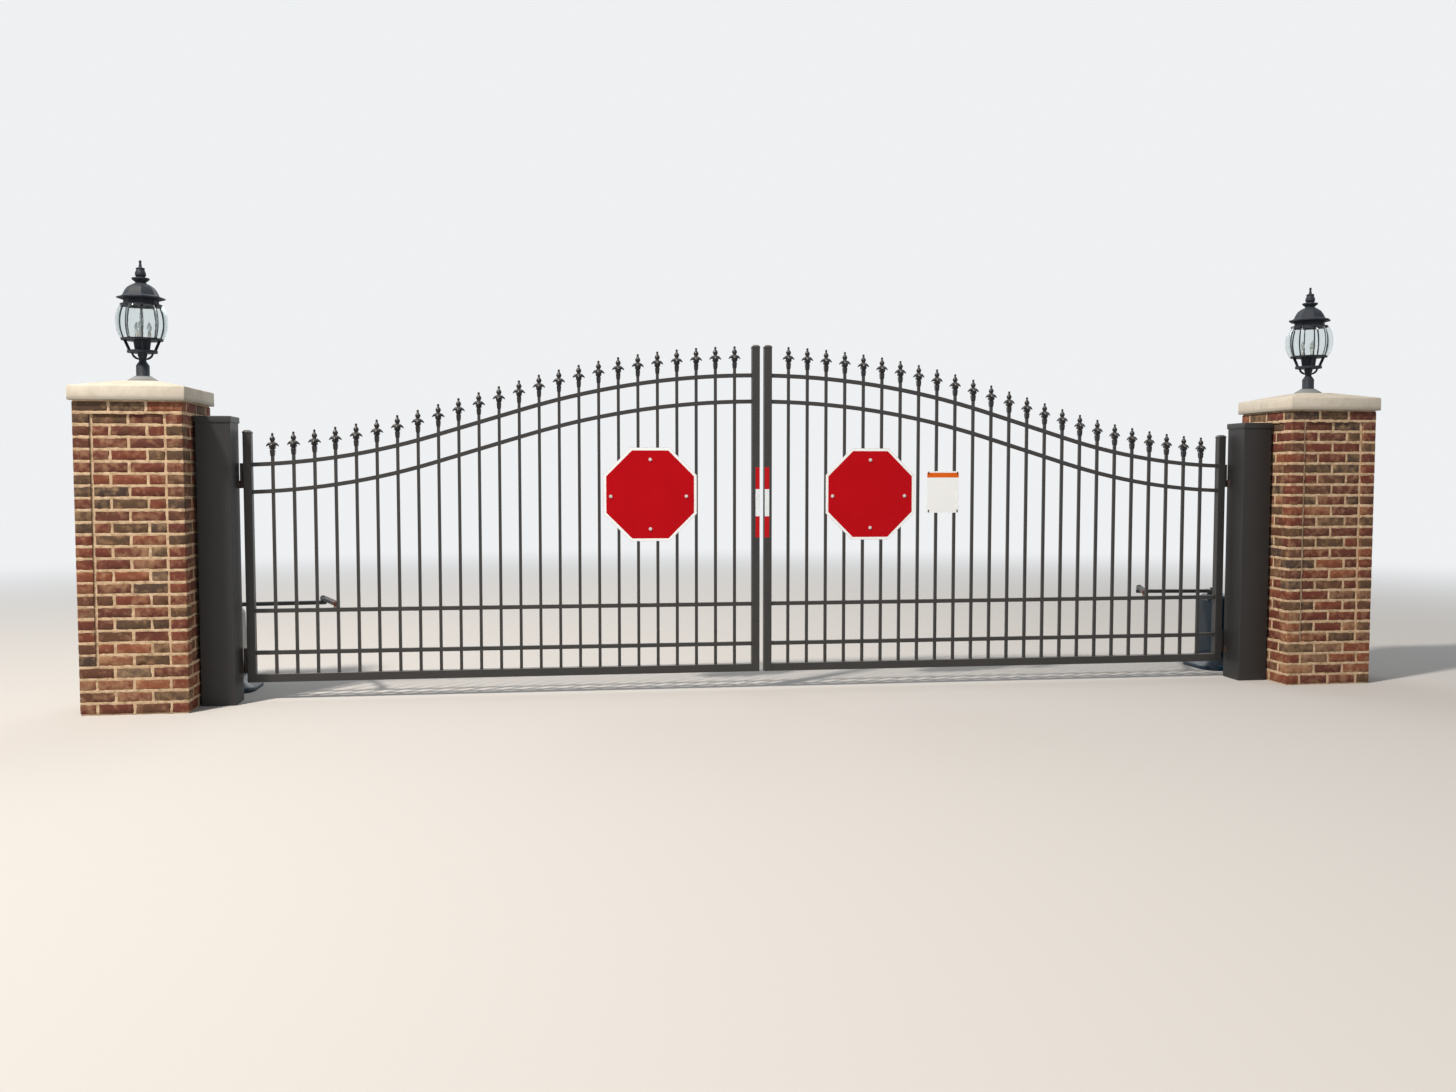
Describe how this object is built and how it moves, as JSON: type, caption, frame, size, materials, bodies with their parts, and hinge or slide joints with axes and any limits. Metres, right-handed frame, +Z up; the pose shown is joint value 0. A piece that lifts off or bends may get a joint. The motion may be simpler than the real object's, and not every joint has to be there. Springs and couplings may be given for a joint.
{
  "type": "double swing driveway gate",
  "caption": "Arched double swing driveway gate of dark aluminium pickets with spear finials, on box posts between brick piers with lanterns, opened by arm operators.",
  "frame": {"origin": "middle of the left gate post's foot, on the ground", "axes": "+X along the gate to the right post, +Y to the side the leaves open to, +Z up"},
  "size_m": [8.2897, 1.118, 2.708],
  "materials": {
    "brick": "matte",
    "cast_stone": "matte",
    "bronze_powder_coat": "satin",
    "finial_casting": "satin",
    "hinge_steel": "satin",
    "arm_steel": "satin",
    "moulded_housing": "gloss",
    "lantern_metal": "satin",
    "lantern_glass": "gloss",
    "candle_lamp": "satin",
    "sign_sheet_red": "satin",
    "sign_sheet_white": "satin"
  },
  "bodies": {
    "root": {"left_pier": "brick", "left_pier_cap": "cast_stone", "left_lantern_stand": "lantern_metal", "left_lantern_cage": "lantern_metal", "left_lantern_glass": "lantern_glass", "left_lantern_roof": "lantern_metal", "left_lantern_candles": "candle_lamp", "left_post": "bronze_powder_coat", "left_post_cap": "bronze_powder_coat", "left_post_hinges": "hinge_steel", "left_operator_base": "moulded_housing", "left_operator_housing": "moulded_housing", "right_pier": "brick", "right_pier_cap": "cast_stone", "right_lantern_stand": "lantern_metal", "right_lantern_cage": "lantern_metal", "right_lantern_glass": "lantern_glass", "right_lantern_roof": "lantern_metal", "right_lantern_candles": "candle_lamp", "right_post": "bronze_powder_coat", "right_post_cap": "bronze_powder_coat", "right_post_hinges": "hinge_steel", "right_operator_base": "moulded_housing", "right_operator_housing": "moulded_housing"},
    "left_leaf": {"left_leaf_hinges": "hinge_steel", "left_stiles": "bronze_powder_coat", "left_stile_caps": "bronze_powder_coat", "left_bottom_rail": "bronze_powder_coat", "left_mid_rails": "bronze_powder_coat", "left_arch_rails": "bronze_powder_coat", "left_pickets": "bronze_powder_coat", "left_finials": "finial_casting", "left_stop_sign": "sign_sheet_red", "left_arm_bracket": "arm_steel"},
    "left_crank": {"left_crank_arm": "arm_steel"},
    "left_link": {"left_link_arm": "arm_steel"},
    "right_leaf": {"right_leaf_hinges": "hinge_steel", "right_stiles": "bronze_powder_coat", "right_stile_caps": "bronze_powder_coat", "right_bottom_rail": "bronze_powder_coat", "right_mid_rails": "bronze_powder_coat", "right_arch_rails": "bronze_powder_coat", "right_pickets": "bronze_powder_coat", "right_finials": "finial_casting", "right_stop_sign": "sign_sheet_red", "right_arm_bracket": "arm_steel", "warning_sign": "sign_sheet_white"},
    "right_crank": {"right_crank_arm": "arm_steel"},
    "right_link": {"right_link_arm": "arm_steel"}
  },
  "joints": [
    {"name": "left_leaf_hinge", "type": "hinge", "parent": "root", "child": "left_leaf", "pos_m": [0.1156, 0.1016, 0.248], "axis": [0, 0, 1], "range_deg": [0, 90]},
    {"name": "left_crank_turn", "type": "hinge", "parent": "root", "child": "left_crank", "pos_m": [-0.0364, 0.4966, 0.553], "axis": [0, 0, 1], "range_deg": [0, 90]},
    {"name": "left_elbow", "type": "hinge", "parent": "left_crank", "child": "left_link", "pos_m": [0.5116, 0.5566, 0.583], "axis": [0, 0, 1], "range_deg": [-90, 0]},
    {"name": "right_leaf_hinge", "type": "hinge", "parent": "root", "child": "right_leaf", "pos_m": [6.6929, 0.1016, 0.248], "axis": [0, 0, -1], "range_deg": [0, 90]},
    {"name": "right_crank_turn", "type": "hinge", "parent": "root", "child": "right_crank", "pos_m": [6.8449, 0.4966, 0.553], "axis": [0, 0, -1], "range_deg": [0, 90]},
    {"name": "right_elbow", "type": "hinge", "parent": "right_crank", "child": "right_link", "pos_m": [6.2969, 0.5566, 0.583], "axis": [0, 0, -1], "range_deg": [-90, 0]}
  ],
  "couplings": [
    {"joint": "left_crank_turn", "follows": "left_leaf_hinge", "ratio": 1},
    {"joint": "left_elbow", "follows": "left_leaf_hinge", "ratio": -1},
    {"joint": "right_crank_turn", "follows": "right_leaf_hinge", "ratio": 1},
    {"joint": "right_elbow", "follows": "right_leaf_hinge", "ratio": -1}
  ]
}
